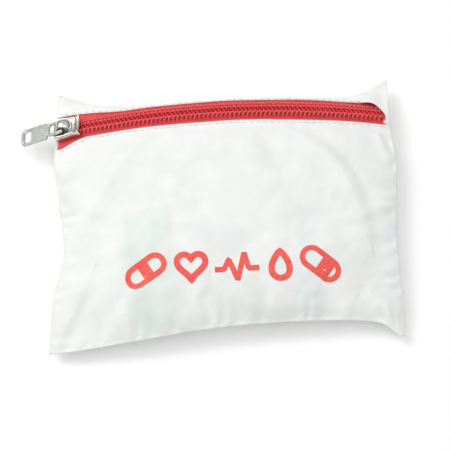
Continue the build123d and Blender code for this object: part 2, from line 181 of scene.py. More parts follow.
def along_line(x, y, line):
    """Signed distance from a line of points, and the share along it, for each (x, y)."""
    best = np.full(np.shape(x), 1e9)
    signed = np.zeros(np.shape(x))
    share = np.zeros(np.shape(x))
    lengths = [math.dist(a, b) for a, b in zip(line, line[1:])]
    passed = 0.0
    for (ax, ay), (bx, by), length in zip(line, line[1:], lengths):
        t = np.clip(((x - ax) * (bx - ax) + (y - ay) * (by - ay)) / length ** 2, 0, 1)
        dx = x - ax - t * (bx - ax)
        dy = y - ay - t * (by - ay)
        distance = np.hypot(dx, dy)
        closer = distance < best
        side = np.sign((bx - ax) * dy - (by - ay) * dx)
        best = np.where(closer, distance, best)
        signed = np.where(closer, distance * side, signed)
        share = np.where(closer, (passed + t * length) / sum(lengths), share)
        passed += length
    return signed, share


# Folds of the front cloth: points in x and y, height, width, and lean (how much one side drops)
FRONT_FOLDS = [
    ([(-36, 33), (-50, 16), (-60, 0), (-70, -19)], 1.1, 3.6, 0.7),
    ([(-63, 31), (-69, 20), (-72.5, 12)], 0.8, 2.4, 0.5),
    ([(33, 32), (46, 22), (54, 13), (60, -3), (63, -21)], 0.9, 3.4, -0.7),
    ([(69, 33), (73, 25), (75, 18)], 0.7, 2.0, -0.5),
    ([(-33, -33), (-43, -45), (-52, -57)], 1.0, 3.6, 0.8),
    ([(-58, -30), (-66, -45), (-72, -58)], 0.8, 3.0, -0.6),
    ([(62, -44), (67, -52), (73, -60)], 0.9, 2.8, 0.7),
    ([(44, -36), (54, -45), (60, -53)], 0.7, 3.2, -0.6),
    ([(-24, 30), (-20, 12), (-26, -8)], 0.45, 4.5, 0.5),
    ([(14, 33), (20, 10), (25, -4)], 0.45, 4.5, -0.5),
    ([(-71, 6), (-58, -2), (-44, -8)], 0.6, 3.0, 0.4),
    ([(75, -2), (64, -10), (54, -12)], 0.6, 3.0, -0.4),
    ([(-10, -54), (-12, -44), (-8, -36)], 0.6, 2.6, 0.5),
    ([(16, -53), (20, -44), (17, -38)], 0.6, 2.8, -0.5),
    ([(38, -52), (36, -45), (40, -40)], 0.5, 2.4, 0.5),
]

# Broad waves that keep the cloth from looking blown up: wavelength, direction in degrees, height, phase
CLOTH_WAVES = [(61, 24, 0.35, 0.4), (43, 118, 0.28, 1.9), (29, 71, 0.16, 3.1), (23, 158, 0.13, 0.9),
               (15, 38, 0.07, 2.2), (12, 101, 0.06, 4.0), (8.5, 12, 0.035, 1.1), (7.1, 142, 0.03, 5.2)]


def waves(x, y):
    bend = 6 * np.sin(x / 19 + 0.7) + 5 * np.sin(y / 16 + 1.9)
    total = np.zeros(np.shape(x))
    for length, degrees, height, phase in CLOTH_WAVES:
        run = x * math.cos(math.radians(degrees)) + y * math.sin(math.radians(degrees)) + bend
        total += height * np.sin(2 * math.pi * run / length + phase)
    return total


def seam_puckers(along, inset, pitch, height, reach):
    """Small gathers that a line of stitches pulls into the cloth beside it."""
    wobble = along + 2.1 * np.sin(along / 5.3) + 1.3 * np.sin(along / 2.9 + 1)
    return height * np.sin(2 * math.pi * wobble / pitch) * np.exp(-(inset / reach) ** 2)


def front_height(x, y):
    """Height of the front cloth, with its folds, over (x, y)."""
    u = across_share(x, y)
    height = plain_front_height(x, y)
    low_y = smooth_through(BOTTOM_FOLD, np.clip(u, -1, 1) * HALF_WIDTH)
    zip_y = zip_point(x, -SLOT_HALF, CLOTH_ON_TAPE)[..., 1]
    from_seam = (1 - np.abs(u)) * HALF_WIDTH
    from_bottom = y - low_y
    from_zip = zip_y - y
    loose = eased(from_seam / 7) * eased(from_bottom / 7) * eased(from_zip / 14)
    change = waves(x, y) * loose
    for line, rise, width, lean in FRONT_FOLDS:
        signed, share = along_line(x, y, line)
        d = signed / width
        ends = np.sin(math.pi * np.clip(between(0.12, 0.88, share), 0, 1)) ** 0.7
        fold = rise * np.exp(-d * d) + lean * rise * 1.4 * d * np.exp(-d * d * 0.5)
        change += fold * ends * eased(from_seam / 3) * eased(from_bottom / 3) * eased((from_zip - 1) / 6)
    side_gathers = seam_puckers(y, from_seam - 1.5, 8.5, 0.32, 6.5)
    bottom_gathers = seam_puckers(x, from_bottom - 1.5, 9.5, 0.35, 7)
    zip_gathers = seam_puckers(x, from_zip - 3, 12.0, 0.12, 5)
    change += side_gathers * eased(from_seam / 2) * eased(from_bottom / 6)
    change += bottom_gathers * eased(from_bottom / 2) * eased(from_seam / 6)
    change += zip_gathers * eased(from_zip / 1.5)
    return height + change


def lower_edge_across(x):
    """Where the lower cloth's folded edge lies across the chain: it slips down at the left end."""
    return -SLOT_HALF - LEFT_SLIP * eased((-60 - x) / 15) + 0.12 * np.sin(x / 7.3)


def upper_edge_across(x):
    """Where the upper cloth's folded edge lies: splayed at the left end, over the chain at the right end."""
    splay = LEFT_SPLAY * eased((-42 - x) / 26)
    crossing = RIGHT_CROSSING * np.clip((x - 64) / 11.3, 0, 1) ** 2.6
    return SLOT_HALF + splay - crossing + 0.1 * np.sin(x / 6.1 + 1)


def upper_edge_height(x):
    return CLOTH_ON_TAPE + RIGHT_RISE * eased((x - 62) / 8)


def top_rim_z(u):
    return CORNER_Z + (RIM_MIDDLE_Z - CORNER_Z) * (1 - np.abs(u) ** 4)


def strip_point(x, s):
    """The cloth above the zipper, from the edge on the tape (s = 0) to the top fold (s = 1)."""
    x, s = np.broadcast_arrays(np.asarray(x, float), s)
    edge = zip_point(x, upper_edge_across(x), upper_edge_height(x))
    fold = np.stack([x, smooth_through(TOP_FOLD, x), top_rim_z(x / HALF_WIDTH) + RIM_LIFT], -1)
    along = edge + ACROSS * 1.5
    above = fold.copy()
    above[..., 2] += 0.55 * (edge[..., 2] - fold[..., 2])
    s = s[..., None]
    r = 1 - s
    point = edge * r ** 3 + along * (3 * r * r * s) + above * (3 * r * s * s) + fold * s ** 3
    side = np.sign(x)
    left = smooth_through(LEFT_SEAM, point[..., 1])
    right = smooth_through(RIGHT_SEAM, point[..., 1])
    seam = np.where(side < 0, left, right)
    share = np.clip((np.abs(x) - STRIP_JOIN_X) / (TAPE_END_X - STRIP_JOIN_X), 0, 1)
    point[..., 0] = np.where(share > 0, between(side * STRIP_JOIN_X, seam, share), x)
    loose = np.sin(math.pi * s[..., 0]) * eased((80 - np.abs(x)) / 8)
    ripple = 0.28 * np.sin(x / 4.3 + 1.2 * np.sin(x / 11)) + 0.2 * np.sin(x / 2.6 + 2)
    ears = 0.8 * np.sin((x + 3 * s[..., 0]) / 3.1) * eased((np.abs(x) - 52) / 10)
    point[..., 2] += (ripple + ears) * loose * 0.7
    return point


def mouth_share(x):
    """How far a point at x goes with the upper lip when the mouth opens: not at all at its ends."""
    left, right = MOUTH_ENDS
    return eased(np.minimum((x - left) / MOUTH_EASE, (right - x) / MOUTH_EASE))


# ---------------------------------------------------------------- mesh helpers

def keep_rest_places(mesh):
    """Stores each point's place at rest, in millimetres, for the materials to read."""
    places = np.zeros(len(mesh.vertices) * 3, np.float32)
    mesh.vertices.foreach_get("co", places)
    rest = mesh.attributes.new("rest", "FLOAT_VECTOR", "POINT")
    rest.data.foreach_set("vector", places / MM)


def mesh_piece(name, points, faces, material, slot):
    mesh = bpy.data.meshes.new(name)
    mesh.from_pydata((np.asarray(points) * MM).tolist(), [], faces)
    mesh.validate()
    mesh.polygons.foreach_set("use_smooth", [True] * len(mesh.polygons))
    keep_rest_places(mesh)
    piece = bpy.data.objects.new(name, mesh)
    bpy.context.scene.collection.objects.link(piece)
    mesh.materials.append(material)
    return piece


def grid_faces(rows, columns, first=0):
    corner = first + (np.arange(rows - 1)[:, None] * columns + np.arange(columns - 1)).ravel()
    return np.stack([corner, corner + 1, corner + columns + 1, corner + columns], 1).tolist()


def grid_piece(name, points, material, slot):
    rows, columns = points.shape[:2]
    return mesh_piece(name, points.reshape(-1, 3), grid_faces(rows, columns), material, slot)


def thicken(piece, thickness, offset=-1):
    """Gives cloth its thickness, inwards from the side that its normals face."""
    wall = piece.modifiers.new("wall", "SOLIDIFY")
    wall.thickness = thickness * MM
    wall.offset = offset


def tube(path, radii, sides):
    """Points and faces of a closed tube along a path, with a radius at each point."""
    path = np.asarray(path, float)
    tangent = np.gradient(path, axis=0)
    tangent /= np.linalg.norm(tangent, axis=1)[:, None]
    up = np.zeros_like(path)
    guess = OUT if abs(tangent[0] @ OUT) < 0.9 else np.array([1.0, 0, 0])
    for i, direction in enumerate(tangent):
        guess = guess - direction * (guess @ direction)
        guess = guess / np.linalg.norm(guess)
        up[i] = guess
    sideways = np.cross(tangent, up)
    turn = 2 * math.pi * np.arange(sides) / sides
    ring = up[:, None] * np.cos(turn)[None, :, None] + sideways[:, None] * np.sin(turn)[None, :, None]
    points = (path[:, None] + ring * np.asarray(radii)[:, None, None]).reshape(-1, 3)
    count = len(path)
    faces = []
    for i in range(count - 1):
        for j in range(sides):
            k = (j + 1) % sides
            faces.append((i * sides + j, i * sides + k, (i + 1) * sides + k, (i + 1) * sides + j))
    faces.append(tuple(range(sides))[::-1])
    faces.append(tuple((count - 1) * sides + j for j in range(sides)))
    return points, faces


def joined(parts):
    """One list of points and one of faces from several (points, faces)."""
    points = []
    faces = []
    total = 0
    for part_points, part_faces in parts:
        points.append(part_points)
        faces += [tuple(i + total for i in face) for face in part_faces]
        total += len(part_points)
    return np.concatenate(points), faces


STITCH_PROFILE = [0.35, 0.85, 1.0, 1.0, 0.85, 0.35]


def stitch(start, end, out, radius):
    """One thread stitch that rises from the cloth at start and dips back at end."""
    shares = np.linspace(0, 1, len(STITCH_PROFILE))
    rise = np.outer(np.sin(math.pi * shares) ** 0.6, out) * radius * 0.6
    path = start + np.outer(shares, end - start) + rise
    return tube(path, radius * np.array(STITCH_PROFILE), 6)


def open_with_mouth(piece, shares):
    """Bakes the piece's transform into its mesh. The shares are not used."""
    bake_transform(piece)


def place_x(piece):
    places = np.zeros(len(piece.data.vertices) * 3)
    piece.data.vertices.foreach_get("co", places)
    return places.reshape(-1, 3)[:, 0] / MM


# ---------------------------------------------------------------- materials

def srgb(red, green, blue):
    """A colour given as seen on a screen, 0 to 255, as a linear colour."""
    channels = [c / 255 for c in (red, green, blue)]
    linear = [c / 12.92 if c <= 0.04045 else ((c + 0.055) / 1.055) ** 2.4 for c in channels]
    return (*linear, 1.0)


class Nodes:
    """Short names for building one material's nodes. Settings are the shader's own sockets."""

    def __init__(self, name, **settings):
        self.material = bpy.data.materials.new(name)
        self.material.use_nodes = True
        self.tree = self.material.node_tree
        self.shader = self.tree.nodes["Principled BSDF"]
        for socket, value in settings.items():
            self.shader.inputs[socket.replace("_", " ")].default_value = value

    def add(self, kind, **settings):
        node = self.tree.nodes.new(kind)
        for key, value in settings.items():
            setattr(node, key, value)
        return node

    def link(self, source, target):
        self.tree.links.new(source, target)

    def rest(self, scale=(1, 1, 1), turn=0.0):
        """The place at rest in millimetres, turned about Z and scaled."""
        place = self.add("ShaderNodeAttribute", attribute_name="rest")
        mapping = self.add("ShaderNodeMapping")
        mapping.inputs["Scale"].default_value = scale
        mapping.inputs["Rotation"].default_value = (0, 0, turn)
        self.link(place.outputs["Vector"], mapping.inputs["Vector"])
        return mapping.outputs["Vector"]

    def noise(self, scale, detail=3.0, stretch=(1, 1, 1)):
        texture = self.add("ShaderNodeTexNoise")
        texture.inputs["Scale"].default_value = scale
        texture.inputs["Detail"].default_value = detail
        self.link(self.rest(stretch), texture.inputs["Vector"])
        return texture.outputs["Fac"]

    def bands(self, scale, direction="X", turn=0.0, distortion=0.0):
        texture = self.add("ShaderNodeTexWave", bands_direction=direction)
        texture.inputs["Scale"].default_value = scale
        texture.inputs["Distortion"].default_value = distortion
        self.link(self.rest(turn=turn), texture.inputs["Vector"])
        return texture.outputs["Fac"]

    def math(self, operation, first, second):
        node = self.add("ShaderNodeMath", operation=operation)
        for socket, value in zip(node.inputs, (first, second)):
            if isinstance(value, (int, float)):
                socket.default_value = value
            else:
                self.link(value, socket)
        return node.outputs[0]

    def ramp(self, factor, low, high, low_at=0.3, high_at=0.7):
        node = self.add("ShaderNodeValToRGB")
        node.color_ramp.elements[0].color = low
        node.color_ramp.elements[0].position = low_at
        node.color_ramp.elements[1].color = high
        node.color_ramp.elements[1].position = high_at
        self.link(factor, node.inputs["Fac"])
        return node.outputs["Color"]

    def multiply(self, first, second, share=1.0):
        node = self.add("ShaderNodeMix", data_type="RGBA", blend_type="MULTIPLY")
        node.inputs["Factor"].default_value = share
        self.link(first, node.inputs[6])
        self.link(second, node.inputs[7])
        return node.outputs[2]

    def colour(self, output):
        self.link(output, self.shader.inputs["Base Color"])

    def roughness(self, factor, low, high):
        node = self.add("ShaderNodeMapRange")
        node.inputs["To Min"].default_value = low
        node.inputs["To Max"].default_value = high
        self.link(factor, node.inputs["Value"])
        self.link(node.outputs["Result"], self.shader.inputs["Roughness"])

    def bump(self, height, distance, strength=1.0, below=None):
        """Adds a relief of this depth in millimetres, on top of an earlier one."""
        node = self.add("ShaderNodeBump")
        node.inputs["Distance"].default_value = distance * MM
        node.inputs["Strength"].default_value = strength
        self.link(height, node.inputs["Height"])
        if below is not None:
            self.link(below, node.inputs["Normal"])
        self.link(node.outputs["Normal"], self.shader.inputs["Normal"])
        return node.outputs["Normal"]


WEAVE_SCALE = 0.55  # wave texture scale that gives a thread about every half millimetre


def white_cloth_material(name, with_painted_shade):
    cloth = Nodes(name, Roughness=0.62, Sheen_Weight=0.25, Sheen_Roughness=0.4, Specular_IOR_Level=0.35)
    cloth.shader.inputs["Subsurface Weight"].default_value = 0.12
    cloth.shader.inputs["Subsurface Radius"].default_value = (0.9, 1.0, 0.95)
    cloth.shader.inputs["Subsurface Scale"].default_value = 0.0015
    warp = cloth.bands(WEAVE_SCALE, "X", distortion=0.4)
    weft = cloth.bands(WEAVE_SCALE, "Y", distortion=0.4)
    weave = cloth.math("MAXIMUM", warp, weft)
    mottle = cloth.noise(0.09, 4.0)
    shade = cloth.ramp(mottle, srgb(241, 243, 240), srgb(249, 251, 248))
    thread = cloth.ramp(weave, (0.955, 0.955, 0.955, 1), (1, 1, 1, 1), 0.1, 0.8)
    colour = cloth.multiply(shade, thread)
    # Multiplies in the painted shade of the contents seen through the cloth, stored at each point
    if with_painted_shade:
        show_through_shade = cloth.add("ShaderNodeAttribute", attribute_name="show_through_shade")
        colour = cloth.multiply(colour, show_through_shade.outputs["Color"])
    cloth.colour(colour)
    cloth.roughness(cloth.noise(0.6, 2.0), 0.52, 0.72)
    crinkle = cloth.bump(cloth.noise(0.16, 5.0), 0.55, 0.55)
    cloth.bump(weave, 0.035, 0.6, crinkle)
    return cloth.material


def thread_material(name, low, high):
    thread = Nodes(name, Sheen_Weight=0.3, Specular_IOR_Level=0.4)
    twist = thread.bands(1.6, "DIAGONAL", distortion=1.0)
    thread.colour(thread.ramp(twist, low, high, 0.15, 0.75))
    thread.roughness(twist, 0.45, 0.65)
    thread.bump(twist, 0.08, 0.8)
    return thread.material


def red_tape_material():
    tape = Nodes("red tape", Sheen_Weight=0.2, Specular_IOR_Level=0.35)
    ribs = tape.bands(0.42, "Y", distortion=0.6)
    picks = tape.bands(0.55, "X", turn=0.5, distortion=0.6)
    weave = tape.math("MULTIPLY", ribs, picks)
    colour = tape.ramp(weave, srgb(226, 62, 66), srgb(246, 88, 90), 0.05, 0.6)
    cloudy = tape.ramp(tape.noise(0.25, 3.0), (0.93, 0.93, 0.93, 1), (1, 1, 1, 1))
    tape.colour(tape.multiply(colour, cloudy))
    tape.roughness(weave, 0.7, 0.55)
    tape.bump(weave, 0.14, 0.8)
    return tape.material


def red_coil_material():
    coil = Nodes("red coil", Specular_IOR_Level=0.55, Coat_Weight=0.25, Coat_Roughness=0.2)
    coil.colour(coil.ramp(coil.noise(0.9, 3.0), srgb(222, 34, 50), srgb(244, 62, 72)))
    coil.roughness(coil.noise(2.5, 2.0), 0.26, 0.42)
    coil.bump(coil.noise(3.0, 2.0), 0.02, 0.5)
    return coil.material


def metal_material(name, low, high, smooth, rough, grain):
    metal = Nodes(name, Metallic=1.0)
    patches = metal.noise(0.45, 5.0)
    metal.colour(metal.ramp(patches, low, high))
    metal.roughness(metal.noise(1.3, 6.0), smooth, rough)
    metal.bump(metal.noise(1.9, 5.0, grain), 0.04, 0.35)
    return metal.material


def print_material():
    ink = Nodes("printed ink", Specular_IOR_Level=0.35)
    weave = ink.math("MAXIMUM", ink.bands(WEAVE_SCALE, "X"), ink.bands(WEAVE_SCALE, "Y"))
    wear = ink.ramp(ink.noise(0.8, 5.0), srgb(236, 84, 78), srgb(247, 100, 90), 0.35, 0.6)
    ink.colour(ink.multiply(wear, ink.ramp(weave, (0.95, 0.95, 0.95, 1), (1, 1, 1, 1))))
    ink.roughness(weave, 0.6, 0.48)
    ink.bump(weave, 0.03, 0.6)
    return ink.material


def simple_material(name, low, high, rough, scale, relief):
    """A material with cloudy colour and a fine relief, for the pieces inside the pouch."""
    made = Nodes(name)
    cloud = made.noise(scale, 4.0)
    made.colour(made.ramp(cloud, low, high))
    made.roughness(cloud, rough - 0.08, rough + 0.08)
    made.bump(made.noise(scale * 4, 3.0), relief, 0.6)
    return made.material


def banded_material(name, low, high, band_scale, direction, rough, relief):
    made = Nodes(name)
    bands = made.bands(band_scale, direction, distortion=0.8)
    made.colour(made.ramp(bands, low, high, 0.35, 0.65))
    made.roughness(made.noise(0.5, 3.0), rough - 0.08, rough + 0.08)
    made.bump(bands, relief, 0.6)
    return made.material


white_cloth = white_cloth_material("white cloth", False)
cloth_with_painted_shade = white_cloth_material("white cloth over the contents", True)
white_thread = thread_material("white thread", srgb(226, 228, 225), srgb(246, 247, 245))
red_thread = thread_material("red thread", srgb(238, 84, 90), srgb(255, 128, 128))
red_tape = red_tape_material()
red_coil = red_coil_material()
nickel = metal_material("nickel", srgb(206, 205, 201), srgb(232, 231, 227), 0.10, 0.24, (1, 1, 1))
satin_nickel = metal_material("satin nickel", srgb(176, 178, 170), srgb(205, 207, 199), 0.28, 0.42,
                              (0.3, 2.5, 1))
ink = print_material()
packet_paper = simple_material("packet paper", srgb(228, 230, 226), srgb(243, 244, 241), 0.6, 0.12, 0.15)
green_packet = banded_material("green packet", srgb(150, 188, 160), srgb(232, 238, 230), 0.05, "Y", 0.5, 0.05)
blue_packet = banded_material("blue packet", srgb(150, 180, 205), srgb(234, 238, 242), 0.04, "X", 0.45, 0.05)
white_tape = banded_material("cloth tape", srgb(226, 226, 220), srgb(244, 244, 240), 0.9, "Z", 0.7, 0.05)
tape_core = simple_material("tape core", srgb(196, 176, 146), srgb(214, 196, 168), 0.8, 0.5, 0.1)
bandage = banded_material("bandage", srgb(222, 220, 212), srgb(246, 245, 240), 0.5, "X", 0.85, 0.25)
blue_vinyl = simple_material("blue vinyl", srgb(120, 160, 200), srgb(150, 186, 220), 0.35, 0.1, 0.4)


# ---------------------------------------------------------------- cloth case

FRONT_COLUMNS = 281
FRONT_ROWS = 241


def front_points():
    u, s = np.meshgrid(np.linspace(-1, 1, FRONT_COLUMNS), np.linspace(0, 1, FRONT_ROWS))
    edge_x = u * TAPE_END_X
    edge_y = zip_point(edge_x, lower_edge_across(edge_x), CLOTH_ON_TAPE)[..., 1]
    low_y = smooth_through(BOTTOM_FOLD, u * HALF_WIDTH)
    y = between(low_y, edge_y, s)
    x = seam_to_seam(u, y)
    z = front_height(x, y)
    hem = np.clip(1 - (edge_y - y) / HEM_LENGTH, 0, 1)
    z -= HEM_DROP * hem ** 2
    return np.stack([x, y, z], -1)


# Painted shade: the contents seen through the cloth, painted as darker, tinted patches on it: middle x and y,
# half length, half width, turn in degrees, softness, colour
PAINTED_SHOW_THROUGH = [
    (-31.6, -30.5, 10.6, 27.0, 4, 5.0, (0.935, 0.968, 0.948)),
    (-39.0, -36.0, 5.0, 17.0, 8, 4.0, (0.960, 0.980, 0.965)),
    (-2.0, -18.0, 10.5, 6.0, -25, 4.0, (0.955, 0.968, 0.985)),
    (35.0, -26.0, 4.5, 20.0, -6, 4.5, (0.955, 0.975, 0.985)),
    (36.0, -47.0, 6.5, 5.0, 0, 3.0, (0.945, 0.965, 0.985)),
    (72.0, -30.0, 2.5, 17.0, 3, 3.0, (0.945, 0.965, 0.985)),
    (62.5, -43.5, 3.5, 3.0, 30, 2.5, (0.945, 0.975, 0.955)),
    (-24.0, 19.0, 3.5, 8.0, -28, 4.0, (0.970, 0.980, 0.975)),
    (21.0, 2.5, 3.5, 6.0, -35, 4.0, (0.970, 0.978, 0.980)),
    (-7.0, -1.0, 17.5, 2.5, 12, 3.5, (0.985, 0.985, 0.965)),
    (40.0, -51.0, 30.0, 2.2, 0, 3.0, (0.955, 0.965, 0.955)),
]
PAINTED_SHOW_THROUGH_STRENGTH = 1.15
# The tape roll's shadow: x, y, outer and inner radius, colour
DISC = (4.8, -44.7, 12.0, 5.5, (0.955, 0.972, 0.960))


def painted_show_through_shade(points):
    """The painted shade at each point: the contents seen through the cloth, and the tape roll's painted
    shadow.
    """
    x = points[:, 0]
    y = points[:, 1]
    colour = np.ones((len(points), 4))
    shapes = []
    for cx, cy, half_x, half_y, degrees, soft, show_through_shade in PAINTED_SHOW_THROUGH:
        turn = math.radians(degrees)
        along = (x - cx) * math.cos(turn) + (y - cy) * math.sin(turn)
        up = (y - cy) * math.cos(turn) - (x - cx) * math.sin(turn)
        outside = np.maximum(np.abs(along) - half_x, np.abs(up) - half_y)
        shapes.append((eased(0.5 - outside / soft), show_through_shade))
    cx, cy, outer, inner, show_through_shade = DISC
    r = np.hypot(x - cx, y - cy)
    ring = eased(0.5 - (r - outer) / 2.5) * between(0.45, 1.0, eased(0.5 + (r - inner) / 2.5))
    shapes.append((ring, show_through_shade))
    for weight, show_through_shade in shapes:
        for channel in range(3):
            colour[:, channel] *= between(1, show_through_shade[channel] ** PAINTED_SHOW_THROUGH_STRENGTH, weight)
    return colour


def paint(piece, colour):
    attribute = piece.data.attributes.new("show_through_shade", "FLOAT_COLOR", "POINT")
    attribute.data.foreach_set("color", colour.astype(np.float32).ravel())


front = front_points()
front_cloth = grid_piece("front_cloth", front, cloth_with_painted_shade, "white_cloth")
# Paints the contents' shade and the tape roll's shadow into the front cloth's colour
paint(front_cloth, painted_show_through_shade(front.reshape(-1, 3)))
thicken(front_cloth, CLOTH_THICKNESS)
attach(front_cloth, "pouch")
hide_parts("front_panel")

TOP_COLUMNS = 361
TOP_ROWS = 41
top_x, top_s = np.meshgrid(np.linspace(-TAPE_END_X, TAPE_END_X, TOP_COLUMNS), np.linspace(0, 1, TOP_ROWS))
top = strip_point(top_x, top_s)
top[..., 2] -= HEM_DROP * np.clip(1 - top_s * 12, 0, 1) ** 2 * (top_x < 64)
top_cloth = grid_piece("top_cloth", top, white_cloth, "white_cloth")
thicken(top_cloth, CLOTH_THICKNESS)
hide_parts("top_strip", "left_corner_ear", "right_corner_ear")
open_with_mouth(top_cloth, (mouth_share(top_x) * eased((1 - top_s) / 0.75)).ravel())


def rim_rise(share):
    return np.maximum((np.abs(share) - FLAT_SHARE) / (1 - FLAT_SHARE), 0.0) ** 2


def back_points():
    """The back cloth: flat on the table, rising at its rim to meet the front and top cloths."""
    u, s = np.meshgrid(np.linspace(-1, 1, 181), np.linspace(0, 1, 161))
    low_y = smooth_through(BOTTOM_FOLD, u * HALF_WIDTH)
    y = between(low_y, smooth_through(TOP_FOLD, u * HALF_WIDTH), s)
    x = seam_to_seam(u, y)
    side_heights = []
    for column in (0, -1):
        edge = np.concatenate([front[:, column], top[:, column]])
        edge = edge[np.argsort(edge[:, 1])]
        side_heights.append(np.interp(y, edge[:, 1], edge[:, 2]))
    side_rim = np.where(u < 0, side_heights[0], side_heights[1])
    fold = top[-1]
    fold_z = np.interp(x, fold[:, 0], fold[:, 2])
    bottom_z = np.interp(x, front[0, :, 0], front[0, :, 2])
    end_rim = np.where(s < 0.5, bottom_z, fold_z)
    side = rim_rise(u)
    end = rim_rise(2 * s - 1)
    sharp = 8
    corner = (side ** sharp * side_rim + end ** sharp * end_rim) / (side ** sharp + end ** sharp + 1e-9)
    z = side * (1 - end) * side_rim + end * (1 - side) * end_rim + side * end * corner
    z -= BASE_DIP * (1 - np.maximum(side, end))
    z = np.maximum(z, 0.02) - 0.02 * np.maximum(side, end)
    return np.stack([x, y, z], -1)


back_cloth = grid_piece("back_cloth", back_points()[::-1], white_cloth, "white_cloth")
thicken(back_cloth, CLOTH_THICKNESS)
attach(back_cloth, "pouch")
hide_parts("back_panel")


# ---------------------------------------------------------------- zipper

def tape_points(side):
    """A tape, from beside the chain to its edge under the cloth."""
    x, share = np.meshgrid(np.linspace(-TAPE_END_X, TAPE_END_X, 301), np.linspace(0, 1, 25))
    cloth_edge = lower_edge_across(x) if side < 0 else np.maximum(upper_edge_across(x), SLOT_HALF)
    across = between(side * 0.25, cloth_edge + side * TAPE_UNDER_CLOTH, share)
    parting = eased((-66 - x) / 8) * 1.2 * side * (1 - share)
    ripple = 0.08 * np.sin(x / 3.7) * np.clip(np.abs(across) / 5, 0, 1)
    return zip_point(x, across + parting, TAPE_TOP + ripple)


def coil_path(side, phase):
    """The wound filament: a flattened spiral whose loops reach just past the chain's middle."""
    turns = (COIL_END_X - COIL_START_X) / COIL_PITCH
    t = np.linspace(0, turns, int(turns * 20))
    angle = 2 * math.pi * (t + phase)
    x = COIL_START_X + t * COIL_PITCH
    across = side * (1.42 - 1.58 * np.cos(angle))
    height = 0.9 * np.sin(angle)
    lean = 0.45 * np.cos(angle) * side
    return zip_point(np.clip(x + lean, COIL_START_X - 0.3, COIL_END_X + 0.3), across, height)


def coil_stitches(side, phase):
    """The slanted stitches that hold a coil to its tape."""
    made = []
    x = COIL_START_X + phase * COIL_PITCH
    while x < COIL_END_X - COIL_PITCH:
        start = zip_point(x, side * 3.55, -0.25)
        end = zip_point(x + COIL_PITCH * 0.62, side * 1.95, 1.02)
        made.append(stitch(start, end, OUT, COIL_THREAD_RADIUS))
        outer_end = zip_point(x + COIL_PITCH * 0.3, side * 3.7, -0.75)
        made.append(stitch(outer_end, start, OUT, COIL_UNDER_THREAD_RADIUS))
        x += COIL_PITCH
    return joined(made)


def zip_half(side, label):
    tape = grid_piece(label + "_tape", tape_points(side), red_tape, "red_tape")
    thicken(tape, 0.5, 1 if side < 0 else -1)
    path = coil_path(side, 0.0 if side < 0 else 0.5)
    coil_mesh = tube(path, np.full(len(path), FILAMENT_RADIUS), 8)
    coil = mesh_piece(label + "_coil_filament", *coil_mesh, red_coil, "red_coil")
    cord_x = np.linspace(COIL_START_X, COIL_END_X, 160)
    cord_mesh = tube(zip_point(cord_x, side * 1.5, 0), np.full(len(cord_x), FILLER_CORD_RADIUS), 8)
    cord = mesh_piece(label + "_filler_cord", *cord_mesh, red_thread, "red_thread")
    stitches_mesh = coil_stitches(side, 0.2 if side < 0 else 0.7)
    stitches = mesh_piece(label + "_coil_stitches", *stitches_mesh, red_thread, "red_thread")
    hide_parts(label + "_zipper_tape")
    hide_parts(label + "_coil")
    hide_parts(label + "_coil_cord")
    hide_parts(label + "_coil_stitching")
    return [tape, coil, cord, stitches]


for piece in zip_half(-1, "lower"):
    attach(piece, "pouch")
for piece in zip_half(1, "upper"):
    open_with_mouth(piece, mouth_share(place_x(piece)))


# ---------------------------------------------------------------- topstitching

def lower_topstitches():
    made = []
    x = -74.0
    while x < 73.5:
        ends = []
        for end_x in (x, x + TOPSTITCH_LENGTH):
            flat = zip_point(end_x, lower_edge_across(end_x) - LOWER_TOPSTITCH_INSET, CLOTH_ON_TAPE)
            ends.append(np.array([flat[0], flat[1], front_height(flat[0], flat[1])]))
        made.append(stitch(ends[0], ends[1], OUT, TOPSTITCH_RADIUS))
        x += TOPSTITCH_PITCH
    return joined(made)


def upper_topstitches():
    made = []
    x = -72.0
    while x < 62:
        start = strip_point(x, UPPER_TOPSTITCH_SHARE)
        end = strip_point(x + TOPSTITCH_LENGTH, UPPER_TOPSTITCH_SHARE)
        made.append(stitch(start, end, OUT, TOPSTITCH_RADIUS))
        x += TOPSTITCH_PITCH
    return joined(made)


lower_stitches = mesh_piece("lower_topstitches", *lower_topstitches(), white_thread, "white_thread")
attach(lower_stitches, "pouch")
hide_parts("lower_topstitching")
upper_stitches = mesh_piece("upper_topstitches", *upper_topstitches(), white_thread, "white_thread")
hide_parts("upper_topstitching")
open_with_mouth(upper_stitches, mouth_share(place_x(upper_stitches)))


# ---------------------------------------------------------------- slider and pull

SLIDER_X = -70.5
PULL_BAR = (-2.2, 0, 3.5)
PULL_DROOP = 5  # degrees below the chain's tangent
PULL_SKEW = 4  # degrees that the tab lies askew
PLATE_HALF_FLAT = 0.32
PLATE_ROUNDING = 0.28
BAR_RADIUS = 0.72
BAR_HALF = 3.0
TIP_RADIUS = 0.8
TIP_HALF = 3.9


def slider_frame():
    """The slider's own frame, in metres: x along the chain, y across it, z out of it."""
    angle = math.asin(SLIDER_X / ARC_RADIUS)
    tangent = np.array([math.cos(angle), 0, 0]) - OUT * math.sin(angle)
    out = np.array([math.sin(angle), 0, 0]) + OUT * math.cos(angle)
    place = (ARC_CENTRE + out * ARC_RADIUS) * MM
    turn = Matrix([tangent, ACROSS, out]).transposed().to_4x4()
    return Matrix.Translation(place) @ turn


def loft_faces(rings, count):
    """Faces that close a loft of this many rings, with this many points in each."""
    faces = [tuple(range(count))]
    for i in range(rings - 1):
        for j in range(count):
            k = (j + 1) % count
            faces.append((i * count + k, i * count + j, (i + 1) * count + j, (i + 1) * count + k))
    faces.append(tuple((rings - 1) * count + j for j in range(count))[::-1])
    return faces


def lofted(stations, section):
    """A closed shape through sections: stations are x, half width and lift, and section is the outline."""
    points = []
    for x, half, lift in stations:
        for y, z, lifted in section:
            points.append((x, y * half, z + lift * lifted))
    return np.array(points), loft_faces(len(stations), len(section))


